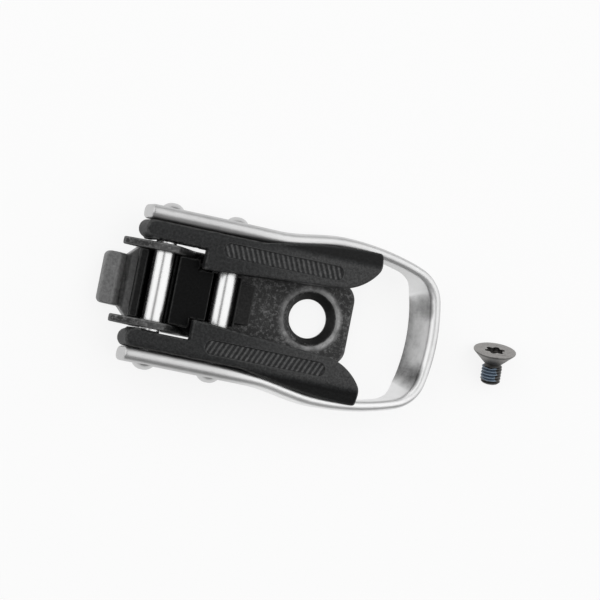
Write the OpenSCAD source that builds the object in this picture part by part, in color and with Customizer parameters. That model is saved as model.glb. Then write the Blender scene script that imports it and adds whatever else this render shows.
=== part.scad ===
// Over-centre boot buckle: a lever that swings on a steel base bracket, with its loose mounting screw.
// The origin is the centre of the bracket's screw hole, on the bracket's underside. +X runs to the
// lever's loop end and +Z away from the boot. Modules draw with x measured from the pivot axis.

/* [Base bracket] */
// Distance from the pivot axis to the screw hole
hole_x = 40.7; // [36:0.1:46]
// Thickness of the plate
plate_t = 3; // [2:0.1:3.4]
// Diameter of the screw hole
hole_d = 9.6; // [8:0.1:10.4]
// Height of the straight wall at the bottom of the screw hole
hole_land = 1.1; // [0.6:0.1:1.6]
// Distance from the screw hole to the free end of the plate
plate_end = 10.6; // [9:0.1:13]
// Corner radius of the free end
plate_corner_r = 4.5; // [2:0.1:7]
// Bevel along the top edge of the free end
plate_bevel = 0.8; // [0.3:0.1:1.2]
// Thickness of one ear
ear_t = 1.9; // [1.4:0.1:2.2]
// Clear distance between the two ears
ear_gap = 17; // [16:0.1:18]
// Radius of the ear round the pivot
ear_r = 4.3; // [3.4:0.1:4.6]
// Reach of the ear's nose behind the pivot
nose_reach = 9.9; // [8.5:0.1:11]
// Height of the nose tip above the plate
nose_rise = 3.6; // [2:0.1:4.4]
// Width of the tongue
tongue_w = 12.8; // [10:0.1:14]
// Reach of the tongue behind the pivot
tongue_reach = 12.9; // [11.5:0.1:16]
// Step from the plate up to the tongue
tongue_rise = 2.2; // [1:0.1:3]

/* [Pins] */
// Height of the pivot axis above the bracket's underside
pivot_z = 9.5; // [9.4:0.1:10.5]
// Distance from the pivot to the strap bar
strap_x = 16.6; // [16:0.1:18]
// How far the strap bar sits below the pivot
strap_drop = 1; // [0:0.1:1.4]
// Outer diameter of the sleeves
sleeve_d = 5; // [4:0.1:5.2]
// Diameter of the rivets
rivet_d = 3; // [2.4:0.1:3.2]
// Diameter of the rivet heads
head_d = 5.3; // [4.6:0.1:7]
// Height of the rivet heads
head_h = 1.3; // [0.8:0.1:2]

/* [Lever frame] */
// Clear distance between the two arms
arm_gap = 31.2; // [30:0.1:33]
// Thickness of the arms
arm_t = 3.5; // [3:0.1:5]
// Height of the arms at the pivot
arm_h = 9; // [7.5:0.1:9.4]
// Reach of the arms behind the pivot
arm_back = 5.9; // [5:0.1:7]
// Start of the outward bend
bend_x = 27; // [25:0.5:30]
// Widest point of the loop
bow_x = 44; // [40:0.5:48]
// Outward bend of each arm
bow_out = 1.9; // [0.5:0.1:3]
// Start of the loop's corner
knee_x = 64.9; // [60:0.1:70]
// How far each arm closes in again by the corner
knee_in = 3.5; // [2:0.1:5]
// Radius of the loop's corner
corner_r = 9.5; // [6:0.1:11]
// Thickness of the loop end
loop_t = 2.5; // [2:0.1:3.5]
// How far the top edge falls towards the loop
top_drop = 3.6; // [2:0.1:4.5]
// Gap between the loop end's lower edge and the surface under the bracket
loop_lift = 0.6; // [0.3:0.1:2]
// Outward lean of the loop end
loop_lean = 20; // [0:1:22]

/* [Grips] */
// Reach of the grips behind the pivot
grip_back = 6.4; // [6:0.1:8.2]
// Clear width beside each ear
ear_slot = 0.7; // [0.4:0.1:1.2]
// Room between the ear and the end of its slot
slot_room = 0.1; // [0.1:0.1:1]
// Strap channel width at the strap bar
channel_w = 12.2; // [11:0.1:13]
// Strap channel width at the wide end
channel_wide = 16.8; // [14:0.1:18]
// Height of the grips' top face above the pivot axis
grip_rise = 3.9; // [3.4:0.1:4.4]
// Distance from the centre line to the ridge of the top face
ridge_y = 15.3; // [14.5:0.1:15.7]
// Position of the grip tips
tip_x = 53.9; // [51:0.1:56]
// Width of the wing over the arm, at the tip
wing_w = 3.7; // [2:0.1:4]
// Depth of the plain panel sunk in each top face
panel_depth = 0.3; // [0.1:0.1:0.6]

/* [Pin block] */
// Radius of the block's end round the pivot
block_r = 6; // [5.4:0.1:6.1]
// Length of the block past the strap bar
block_past = 7.5; // [5.5:0.1:8.5]
// Clear width on each side of the pivot sleeve
pivot_groove = 1.5; // [1:0.1:2]
// Clear width on each side of the strap sleeve
strap_groove = 1; // [0.6:0.1:1.4]
// Height of the block's top above the sleeve axes
block_rise = 0.6; // [0:0.1:1.2]

/* [Mounting screw] */
// Thread diameter
thread_d = 5; // [4:0.5:6]
// Thread pitch
thread_pitch = 0.8; // [0.6:0.1:1]
// Length of the screw with its head
screw_len = 8.5; // [7:0.5:12]
// Head diameter
screw_head_d = 10.6; // [9:0.1:11]
// Width of the star recess across its points
star_d = 5.2; // [3.5:0.1:5.4]
// Depth of the star recess
star_depth = 1.8; // [1:0.1:2]
// Gap between the loop end and the lying screw's head
screw_gap = 11.2; // [5:0.1:20]
// Turn of the lying screw from the pins' direction
screw_turn = 9; // [0:1:20]

/* [Hidden] */
$fn = 64;
run_fit = 0.05;
free_fit = 0.1;
cut_over = 1;
floor_gap = 0.4;
deep = 100;

// Base bracket
plate_half = ear_gap / 2 + ear_t;
plate_right = hole_x + plate_end;
web_x = -3.1;
ramp_x = web_x - plate_half + tongue_w / 2;
ramp_inset = plate_t * tan(22.5);
nose_tip_h = 1.1;
ear_back = 9.3;
tongue_corner_r = 1.4;

// Pins
strap_z = pivot_z - strap_drop;
arm_out = arm_gap / 2 + arm_t;
sleeve_r = sleeve_d / 2;
rivet_r = rivet_d / 2;

// Lever frame
arm_bot = pivot_z - arm_h / 2 - 0.5;
arm_top = arm_bot + arm_h;
drop_x = 12;
drop_end = 42;
edge_round = 0.4;
arch_steps = 8;
corner_end_turn = 78;
lean_x = 62;
lean_end = 71;

// Grips
slot_end = ear_back + slot_room;
wall_in = plate_half + ear_slot;
wall_out = arm_gap / 2 - 2 * free_fit;
wall_mid = (wall_in + wall_out) / 2;
wall_r = (wall_out - wall_in) / 2;
grip_top = pivot_z + grip_rise;
grip_bot = plate_t + floor_gap;
wall_hang = 4.8;
wall_bot = pivot_z - wall_hang;
wing_x = 22;
wing_gap = 0.15;
wing_lip = 0.5;
wing_slope = atan((top_drop + grip_top - arm_top - wing_gap - wing_lip) / wing_w);
tip_cut = 11;
tip_end_y = 16.6;
slot_under = 2.6;
slot_skin = 2.5;
pad_t = 0.35;
pad_x = [-4.6, -2.8];
panel_y = (channel_wide / 2 + ridge_y) / 2;
panel_r = 1.7;
panel_inset = 4;

// Pin block
block_half = ear_gap / 2 - 0.15;
neck_half = channel_w / 2 - 0.15;
tail_half = neck_half - 1;
groove_below = 0.7;
cheek_reach = 2;
cheek_l = 8;
cheek_h = 7;
block_right = strap_x + block_past;
block_bot = plate_t + floor_gap;
strap_end = neck_half + cheek_reach;

// Mounting screw
head_lip = 0.3;
cone_h = (screw_head_d - thread_d) / 2;
thread_depth = 0.6 * thread_pitch;
thread_root = thread_d / 2 - thread_depth;
thread_start = head_lip + cone_h;
patch_start = thread_start + 0.9;
patch_end = screw_len - 1;
patch_skin = 0.1;
patch_turn = 170;
patch_side = 217;
screw_shift = 0.21 * screw_len;
screw_tilt = asin((screw_head_d - thread_d) / 2 / (screw_len - head_lip));

// Eased step from 0 to 1
function ease(q) = let (c = min(max(q, 0), 1)) c * c * (3 - 2 * c);

// Eased step of x between two places
function step(x, from, to) = ease((x - from) / (to - from));

// Point where a line from p touches a circle, on the side given by +1 or -1
function touch(p, centre, r, side) =
    let (
        d = p - centre,
        a = atan2(d[1], d[0]) + side * acos(r / norm(d))
    )
    centre + r * [cos(a), sin(a)];

// Lever frame: outer line, wall and edges along x
function arm_line(x) =
    arm_out + bow_out * step(x, bend_x, bow_x) - knee_in * pow(max(0, x - bow_x) / (knee_x - bow_x), 2);
function arm_turn(x) = atan((arm_line(x + 0.01) - arm_line(x - 0.01)) / 0.02);
function wall_at(x) = arm_t + (loop_t - arm_t) * step(x, bend_x, knee_x);
function top_at(x) = arm_top - top_drop * step(x, drop_x, drop_end);
function bot_at(x) = arm_bot - (arm_bot - loop_lift) * step(x, drop_x, knee_x);
function lean_at(x) = loop_lean * step(x, lean_x, lean_end);

// Stations of one half of the frame: x, y and heading of the outer top line
knee_turn = -arm_turn(knee_x);
corner_c = [knee_x - corner_r * sin(knee_turn), arm_line(knee_x) - corner_r * cos(knee_turn)];
corner_stop = corner_c + corner_r * [sin(corner_end_turn), cos(corner_end_turn)];
bow_r = corner_stop[1] / cos(corner_end_turn);
loop_x = corner_stop[0] + bow_r * (1 - sin(corner_end_turn));
arm_xs = concat([-arm_back, 0, drop_x], [for (x = [drop_x + 2 : 2 : knee_x - 1]) x], [knee_x]);
half_path = concat(
    [for (x = arm_xs) [x, arm_line(x), -arm_turn(x)]],
    [for (i = [1 : 10])
        let (a = knee_turn + (corner_end_turn - knee_turn) * i / 10)
        [corner_c[0] + corner_r * sin(a), corner_c[1] + corner_r * cos(a), a]],
    [for (i = [1 : 4])
        let (a = corner_end_turn + (90 - corner_end_turn) * i / 4)
        [loop_x - bow_r * (1 - sin(a)), bow_r * cos(a), a]]
);

// Section of the frame at one station: across the wall and up
function frame_section(x) =
    let (
        t = wall_at(x),
        b = bot_at(x),
        h = top_at(x) - t / 2
    )
    concat(
        [[edge_round, b], [0, b + edge_round]],
        [for (i = [0 : arch_steps])
            let (a = 180 - 180 * i / arch_steps)
            [t / 2 + t / 2 * cos(a), h + t / 2 * sin(a)]],
        [[t, b + edge_round], [t - edge_round, b]]
    );

// Ring of points of the frame at one station, on the side given by +1 or -1
function frame_ring(s, side) =
    let (lean = tan(lean_at(s[0])), top = top_at(s[0]))
    [for (p = frame_section(s[0]))
        let (a = p[0] + (top - p[1]) * lean)
        [s[0] - a * sin(s[2]), side * (s[1] - a * cos(s[2])), p[1]]];

// Closed skin through rings of equal count
module skin(rings) {
    n = len(rings[0]);
    m = len(rings);
    points = [for (r = rings) for (p = r) p];
    sides = [for (i = [0 : m - 2]) for (j = [0 : n - 1])
        let (a = i * n + j, b = i * n + (j + 1) % n)
        each [[a, b, b + n], [a, b + n, a + n]]];
    first = [for (j = [n - 1 : -1 : 0]) j];
    last = [for (j = [0 : n - 1]) (m - 1) * n + j];
    polyhedron(points, concat(sides, [first], [last]));
}

// Cylinder along Y, centred on an axis
module cross_rod(x, z, r, half) {
    translate([x, half, z]) rotate([90, 0, 0]) cylinder(r = r, h = 2 * half);
}

// Side outline drawn in x and z, given thickness along Y from y0 up
module side_plate(y0, width) {
    translate([0, y0 + width, 0]) rotate([90, 0, 0]) linear_extrude(width) children();
}

// Modules draw from the pivot axis; the file's origin is the screw hole
module placed() {
    translate([-hole_x, 0, 0]) children();
}

module plate_blank() {
    flat = plate_t - plate_bevel;
    corner = [plate_right - plate_corner_r, plate_half - plate_corner_r];
    for (side = [-1, 1])
        translate([corner[0], side * corner[1], 0]) {
            cylinder(r = plate_corner_r, h = flat);
            translate([0, 0, flat])
                cylinder(r1 = plate_corner_r, r2 = plate_corner_r - plate_bevel, h = plate_bevel);
        }
    side_plate(-corner[1], 2 * corner[1])
        polygon([
            [web_x, 0], [plate_right, 0], [plate_right, flat],
            [plate_right - plate_bevel, plate_t], [web_x, plate_t]
        ]);
    translate([web_x, 0, 0]) rotate([90, 0, 90]) linear_extrude(corner[0] - web_x)
        polygon([
            [-plate_half, 0], [plate_half, 0], [plate_half, flat], [plate_half - plate_bevel, plate_t],
            [plate_bevel - plate_half, plate_t], [-plate_half, flat]
        ]);
}

module tongue_outline() {
    half = tongue_w / 2;
    cut = plate_half - half;
    polygon([
        [web_x, plate_half], [web_x - cut, half], [tongue_corner_r - tongue_reach, half],
        [tongue_corner_r - tongue_reach, -half], [web_x - cut, -half], [web_x, -plate_half]
    ]);
    translate([-tongue_reach, tongue_corner_r - half])
        square([tongue_reach + web_x, tongue_w - 2 * tongue_corner_r]);
    for (side = [-1, 1])
        translate([tongue_corner_r - tongue_reach, side * (half - tongue_corner_r)])
            circle(r = tongue_corner_r);
}

module tongue() {
    intersection() {
        linear_extrude(deep) tongue_outline();
        side_plate(-plate_half, 2 * plate_half)
            polygon([
                [web_x, 0], [web_x, plate_t], [ramp_x, plate_t], [ramp_x - tongue_rise, plate_t + tongue_rise],
                [-tongue_reach, plate_t + tongue_rise], [-tongue_reach, tongue_rise],
                [ramp_x - tongue_rise - ramp_inset, tongue_rise], [ramp_x - ramp_inset, 0]
            ]);
    }
}

module ear_outline() {
    axis = [0, pivot_z];
    nose = [-nose_reach, plate_t + nose_rise + nose_tip_h];
    foot = [ear_back, plate_t];
    translate(axis) circle(r = ear_r);
    polygon([
        [web_x, plate_t / 2], [web_x, plate_t], nose - [0, nose_tip_h], nose,
        touch(nose, axis, ear_r, -1), axis, touch(foot, axis, ear_r, 1), foot, [ear_back, plate_t / 2]
    ]);
}

module base_bracket() {
    color("dimgray") placed() difference() {
        union() {
            plate_blank();
            tongue();
            for (y0 = [ear_gap / 2, -plate_half])
                side_plate(y0, ear_t) ear_outline();
        }
        translate([hole_x, 0, -cut_over]) cylinder(d = hole_d, h = plate_t + 2 * cut_over);
        translate([hole_x, 0, hole_land])
            cylinder(d1 = hole_d, d2 = hole_d + 4 * (plate_t - hole_land), h = 2 * (plate_t - hole_land));
        cross_rod(0, pivot_z, sleeve_r + run_fit, plate_half + 1);
    }
}

module lever_frame() {
    near = [for (s = half_path) frame_ring(s, 1)];
    far = [for (i = [len(half_path) - 2 : -1 : 0]) frame_ring(half_path[i], -1)];
    color("silver") placed() difference() {
        skin(concat(near, far));
        cross_rod(0, pivot_z, rivet_r + run_fit, arm_out + 1);
        cross_rod(strap_x, strap_z, rivet_r + run_fit, arm_out + 1);
    }
}

// Grip: inner edge, wall beside the frame and wing edge along x
function tip_part(x) = max(0, x - (tip_x - tip_cut)) / tip_cut;
function grip_in(x) =
    let (
        bar = channel_w / 2,
        wide = channel_wide / 2,
        run = bar + (wide - bar) * (x - slot_end) / (tip_x - tip_cut - slot_end),
        q = tip_part(x)
    )
    q == 0 ? run : wide + (tip_end_y - wide) * (0.35 * q * q + 0.65 * (1 - sqrt(1 - q * q)));
function grip_out(x) = arm_line(x) - wall_at(x) / cos(arm_turn(x)) - free_fit;
function wing_part(x) = let (q = min(max((x - wing_x) / (tip_x - wing_x), 0), 1)) sin(90 * q);
function wing_y(x) = max(wall_out, ridge_y + wing_w * wing_part(x));

grip_xs = concat(
    [slot_end], [for (x = [slot_end + 2 : 2 : tip_x - tip_cut - 1]) x],
    [for (i = [0 : 14]) tip_x - tip_cut * pow(1 - i / 14, 1.6)]
);

// Room for the frame beside the grip and under its wing
module frame_room() {
    far = arm_out + bow_out + arm_t;
    skin([for (x = concat(grip_xs, [tip_x + 1]))
        let (y = grip_out(x), z = top_at(x) + wing_gap)
        [[x, y, -1], [x, y, z], [x, far, z], [x, far, -1]]]);
}

// Stadium outline between two ends on a line along X
module stadium(x0, x1, r) {
    translate([x0 + r, -r]) square([x1 - x0 - 2 * r, 2 * r]);
    for (x = [x0 + r, x1 - r])
        translate([x, 0]) circle(r = r);
}

module grip_outline() {
    back = len(grip_xs) - 1;
    polygon(concat(
        [for (x = grip_xs) [x, grip_in(x)]],
        [for (i = [back : -1 : 0]) [grip_xs[i], wing_y(grip_xs[i])]]
    ));
    translate([0, wall_mid]) stadium(-grip_back, slot_end + 2 * wall_r, wall_r);
    translate([pad_x[0], wall_in - pad_t]) square([pad_x[1] - pad_x[0], pad_t + wall_r]);
}

module grip() {
    placed() difference() {
        translate([0, 0, grip_bot]) linear_extrude(grip_top - grip_bot) grip_outline();
        frame_room();
        translate([-grip_back - 1, 0, 0]) cube([grip_back + slot_end, deep, wall_bot]);
        translate([slot_end - 1, 0, 0]) cube([1 + slot_under, wall_in, grip_top - slot_skin]);
        translate([-deep, ridge_y, grip_top]) rotate([-wing_slope, 0, 0]) cube([2 * deep, deep, deep]);
        cross_rod(0, pivot_z, rivet_r + run_fit, arm_out);
        cross_rod(strap_x, strap_z, rivet_r + run_fit, arm_out);
        cheek_block(free_fit);
        translate([0, panel_y, grip_top - panel_depth]) linear_extrude(deep)
            stadium(slot_end + panel_inset, tip_x - tip_cut + 1, panel_r);
    }
}

module grip_left() {
    color("darkslategray") grip();
}

module grip_right() {
    color("darkslategray") mirror([0, 1, 0]) grip();
}

// Cheeks of the pin block that sit in the grips, grown by a clearance
module cheek_block(gap) {
    translate([strap_x - cheek_l / 2 - gap, -strap_end - gap, strap_z - cheek_h / 2 - gap])
        cube([cheek_l + 2 * gap, 2 * (strap_end + gap), cheek_h + 2 * gap]);
}

module groove(x, z, side_room) {
    half = sleeve_r + side_room;
    side_plate(-deep, 2 * deep) {
        translate([x - half, z - sleeve_r - groove_below + half / 2]) square([2 * half, deep]);
        intersection() {
            translate([x, z - sleeve_r - groove_below + half]) circle(r = half);
            translate([x - half, z - sleeve_r - groove_below]) square([2 * half, half]);
        }
    }
}

module pin_block() {
    color("slategray") placed() difference() {
        intersection() {
            union() {
                cross_rod(0, pivot_z, block_r, block_half);
                translate([0, -block_half, 0]) cube([slot_end - free_fit, 2 * block_half, deep]);
                translate([0, -neck_half, 0]) cube([strap_x + sleeve_r, 2 * neck_half, deep]);
                translate([0, -tail_half, 0]) cube([block_right, 2 * tail_half, deep]);
                cheek_block(0);
            }
            side_plate(-deep, 2 * deep)
                polygon([
                    [-block_r, block_bot], [block_right, block_bot], [block_right, strap_z + block_rise],
                    [strap_x, strap_z + block_rise], [0, pivot_z + block_rise], [-block_r, pivot_z + block_rise]
                ]);
        }
        groove(0, pivot_z, pivot_groove);
        intersection() {
            groove(strap_x, strap_z, strap_groove);
            translate([0, -neck_half, 0]) cube([deep, 2 * neck_half, deep]);
        }
        cross_rod(strap_x, strap_z, sleeve_r + run_fit, strap_end + 1);
    }
}

// Rivet along Y with a domed head on each arm
module rivet(x, z) {
    dome_r = (head_d * head_d / 4 + head_h * head_h) / (2 * head_h);
    cross_rod(x, z, rivet_r, arm_out);
    for (side = [-1, 1])
        translate([x, side * arm_out, z]) rotate([-90 * side, 0, 0]) intersection() {
            translate([0, 0, head_h - dome_r]) sphere(r = dome_r);
            cylinder(r = head_d, h = head_h * 2);
        }
}

// Sleeve on a rivet
module sleeve(x, z, half) {
    difference() {
        cross_rod(x, z, sleeve_r, half);
        cross_rod(x, z, rivet_r + run_fit, half + 1);
    }
}

module pivot_rivet() {
    color("gainsboro") placed() rivet(0, pivot_z);
}

module pivot_sleeve() {
    color("white") placed() sleeve(0, pivot_z, wall_in);
}

module strap_rivet() {
    color("gainsboro") placed() rivet(strap_x, strap_z);
}

module strap_sleeve() {
    color("white") placed() sleeve(strap_x, strap_z, strap_end);
}

// The screw's own axis is Z, head face at 0, thread end at -screw_len; here it lies on its side
module lying() {
    rim = screw_head_d / 2;
    placed() translate([loop_x + screw_gap + rim, 0, rim * cos(screw_tilt) + head_lip * sin(screw_tilt)])
        rotate([0, 0, screw_turn]) translate([0, screw_shift, 0]) rotate([screw_tilt - 90, 0, 0]) children();
}

module star_outline() {
    lobe = star_d * 0.13;
    circle(r = star_d * 0.38);
    for (i = [0 : 5])
        rotate(60 * i) translate([star_d / 2 - lobe, 0]) circle(r = lobe);
}

module patch_sector(inner, outer, gap) {
    rotate([0, 0, patch_side - patch_turn / 2])
        translate([0, 0, -patch_end - gap])
            rotate_extrude(angle = patch_turn)
                translate([inner, 0]) square([outer - inner, patch_end - patch_start + 2 * gap]);
}

module mounting_screw() {
    rim = screw_head_d / 2;
    major = thread_d / 2;
    turns = floor((screw_len - thread_start) / thread_pitch);
    tail = thread_start + turns * thread_pitch;
    teeth = [for (i = [0 : turns - 1])
        let (z = thread_start + i * thread_pitch)
        each [[major, -z - 0.1 * thread_pitch], [thread_root, -z - 0.5 * thread_pitch],
            [major, -z - 0.9 * thread_pitch]]];
    color("gray") lying() difference() {
        rotate_extrude()
            polygon(concat(
                [[0, 0], [rim, 0], [rim, -head_lip], [major, -thread_start]], teeth,
                [[major, -tail], [thread_root, -screw_len], [0, -screw_len]]
            ));
        translate([0, 0, -star_depth]) linear_extrude(star_depth + 1) star_outline();
        patch_sector(thread_root, thread_d, 0);
    }
}

module thread_patch() {
    color("steelblue") lying() patch_sector(thread_root, thread_d / 2 - patch_skin, 0);
}

base_bracket();
lever_frame();
grip_left();
grip_right();
pin_block();
pivot_rivet();
pivot_sleeve();
strap_rivet();
strap_sleeve();
mounting_screw();
thread_patch();
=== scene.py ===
"""Looks of an over-centre boot buckle: steel bracket, aluminium lever loop, plastic grips, pins and a screw.

Shapes are drawn in millimetres with x measured from the pivot axis, as the solids are, and set into the
part's frame when a piece is made. A plain number at the end of round_and or round_or is the edge's radius.
"""

import math

import bmesh
import bpy
import numpy as np
from mathutils import Matrix, Vector


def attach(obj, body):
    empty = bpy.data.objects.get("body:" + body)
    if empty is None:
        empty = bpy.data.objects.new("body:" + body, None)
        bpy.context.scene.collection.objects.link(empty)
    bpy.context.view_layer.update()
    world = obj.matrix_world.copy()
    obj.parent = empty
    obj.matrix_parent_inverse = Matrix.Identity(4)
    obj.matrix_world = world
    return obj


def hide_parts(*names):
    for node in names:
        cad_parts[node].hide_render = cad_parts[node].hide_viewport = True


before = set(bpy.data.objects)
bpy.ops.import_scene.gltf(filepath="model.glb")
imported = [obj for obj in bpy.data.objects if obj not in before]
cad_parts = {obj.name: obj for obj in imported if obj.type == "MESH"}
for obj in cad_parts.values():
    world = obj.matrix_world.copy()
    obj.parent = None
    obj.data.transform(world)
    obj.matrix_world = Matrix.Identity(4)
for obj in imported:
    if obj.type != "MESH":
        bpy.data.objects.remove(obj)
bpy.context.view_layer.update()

MM = 0.001
COS_45 = math.sqrt(0.5)

# Axes, sleeves and rivets
PIVOT_Z = 9.5
STRAP_X, STRAP_Z = 16.6, 8.5
SLEEVE_R, SLEEVE_PLAY = 2.5, 0.05
STRAP_SLEEVE_HALF = 7.95
SLEEVE_EDGE = 0.3
BORE_R, BORE_LEAD_R, BORE_LEAD = 1.55, 1.65, 0.1
SHANK_R, HEAD_R, HEAD_H, HEAD_STEPS = 1.5, 2.65, 1.3, 14
DIMPLE_R, DIMPLE_DEEP = 0.9, 0.1

# Bracket
HOLE_X, HOLE_R, HOLE_LAND = 40.7, 4.8, 1.1
PLATE_T, PLATE_HALF, PLATE_END, PLATE_CORNER_R = 3.0, 10.4, 51.3, 4.5
WEB_X = -3.1
TONGUE_X, TONGUE_HALF, TONGUE_TOP, TONGUE_UNDER = -12.9, 6.4, 5.2, 2.2
RAMP_X, RAMP_UNDER_X = -7.1, -8.343
EAR_R, EAR_MID, EAR_HALF_T, EAR_FOOT_X = 4.3, 9.45, 0.95, 9.3
NOSE_X, NOSE_TOP, NOSE_LOW = -9.9, 7.7, 6.6
BETWEEN_EARS = 8.45

# Lever loop
ARM_BACK, ARM_OUT, ARM_T, ARM_TOP, ARM_LOW = 5.9, 19.1, 3.5, 13.5, 4.5
BEND_X, BOW_X, KNEE_X = 27, 44, 64.9
BOW_OUT, KNEE_IN, CORNER_R, CORNER_END = 1.9, 3.5, 9.5, math.radians(78)
FALL_X, TOP_FALL_END, TOP_FALL, LOW_FALL = 12, 42, 3.6, 3.9
LEAN, LEAN_X, LEAN_END = math.radians(20), 62, 71
BACK_ROUND, BACK_STEPS, ARM_START = 0.8, 5, -4.4

# Grips
SLOT_END, TIP_X, TIP_CUT = 9.4, 53.9, 11.0
SWEEP_X = TIP_X - TIP_CUT
GRIP_TOP, GRIP_LOW, RIDGE_Y = 13.4, 3.4, 15.3
CHANNEL_HALF, CHANNEL_SPREAD, CHANNEL_WIDE, TIP_SWEEP = 6.1, 2.3, 8.4, 8.2
WALL_IN, WALL_OUT, WALL_BACK, WALL_LOW = 11.1, 15.58, -6.4, 4.7
WING_X, WING_W, WING_FALL, WING_SLOPE = 22, 3.7, 2.85, 0.12
PAD_X, PAD_Y, PAD_HALF_X, PAD_HALF_Y = -3.7, 11.75, 0.9, 1
UNDERCUT_BACK, UNDERCUT_LONG, UNDERCUT_ROOF = 1, 2.6, 2.5
LOOP_GAP, LAP_GAP = 0.02, 0.15
WALL_LAP = 4
PANEL_R, PANEL_DEEP, PANEL_IN, PANEL_PAST = 1.7, 0.3, 4, 1
RIB_PITCH, RIB_SLANT, RIB_HIGH = 1.3, 0.45, 0.065

# Block between the grips; cheek and pocket are half length, half width, middle height and half height
BLOCK_R, BLOCK_HALF, BLOCK_TOP = 6.0, 8.35, 10.1
NECK_HALF, TAIL_HALF, TAIL_LONG = 5.95, 4.95, 7.5
CHEEK = (4, 7.95, 7.15, 2.15)
POCKET = (4.1, 8.05, 7.2, 2.3)
PIVOT_TROUGH_Z, PIVOT_TROUGH_R = 6.3, 4.0
STRAP_TROUGH_Z, STRAP_TROUGH_R = 5.3, 3.5

# Screw and its patch, on the screw's own axis with the head's face at 0
SCREW_RIM, SCREW_LEN, RIM_T, HEAD_DEEP, SHANK_TOP, POINT_R = 5.3, 8.5, 0.3, 3.2, 1.5, 2.05
THREAD_PITCH, THREAD_ROOT, THREAD_HIGH, THREAD_R = 0.8, 2.04, 0.45, 2.5
THREAD_START, THREAD_FULL = 3.8, 4.2
STAR_R, STAR_DEEP, LOBE_AT, LOBE_R = 1.87, 1.3, 1.924, 0.676
STAR_CONE, STAR_CONE_R = 0.4, 2.2
MARK_R, MARK_HALF, MARK_DEEP = 3.55, 0.06, 0.04
PATCH_AT, PATCH_TOP, PATCH_END = math.radians(217), -4.05, -7.5
PATCH_T, PATCH_FILL_R, PATCH_CORE_R, PATCH_REACH = 0.05, 2.21, 1.8, 2.6
SCREW_AWAY, SCREW_TURN, SCREW_ALONG = 11.2, math.radians(9), 0.21 * SCREW_LEN

SHARP_ANGLE = math.radians(38)


# Lines that the pieces share

def ease(q):
    c = np.clip(q, 0, 1)
    return c * c * (3 - 2 * c)


def rise(x, start, end):
    """0 up to start, 1 from end on, eased between."""
    return ease((x - start) / (end - start))


def arm_line(x):
    """Outer side of the lever's arm: straight, bowed out, then drawn in to the knee."""
    drawn_in = np.maximum(0, x - BOW_X) / (KNEE_X - BOW_X)
    return ARM_OUT + BOW_OUT * rise(x, BEND_X, BOW_X) - KNEE_IN * drawn_in ** 2


def arm_slope(x):
    return (arm_line(x + 0.01) - arm_line(x - 0.01)) / 0.02


def wall_at(x):
    return ARM_T - rise(x, BEND_X, KNEE_X)


def top_at(x):
    return ARM_TOP - TOP_FALL * rise(x, FALL_X, TOP_FALL_END)


def bottom_at(x):
    return ARM_LOW - LOW_FALL * rise(x, FALL_X, KNEE_X)


def lean_at(x):
    return LEAN * rise(x, LEAN_X, LEAN_END)


# Distance fields, negative inside

def round_and(a, b, r):
    """Common part of two shapes, its edge rounded to radius r."""
    return np.minimum(np.maximum(a, b), -r) + np.hypot(np.maximum(a + r, 0), np.maximum(b + r, 0))


def round_or(a, b, r):
    """Two shapes joined, with a fillet of radius r."""
    return np.maximum(np.minimum(a, b), r) - np.hypot(np.maximum(r - a, 0), np.maximum(r - b, 0))


def half_plane(u, v, p, q):
    """Distance from the line p to q in the u, v plane, negative on its right hand."""
    du, dv = q[0] - p[0], q[1] - p[1]
    return ((v - p[1]) * du - (u - p[0]) * dv) / math.hypot(du, dv)


def touch(p, centre, r, side):
    """Where a line from p touches a circle; side is 1 or -1."""
    d = (p[0] - centre[0], p[1] - centre[1])
    a = math.atan2(d[1], d[0]) + side * math.acos(r / math.hypot(*d))
    return centre[0] + r * math.cos(a), centre[1] + r * math.sin(a)


def stadium(x, y, x0, x1, mid, r):
    return np.hypot(x - np.clip(x, x0 + r, x1 - r), y - mid) - r


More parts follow.
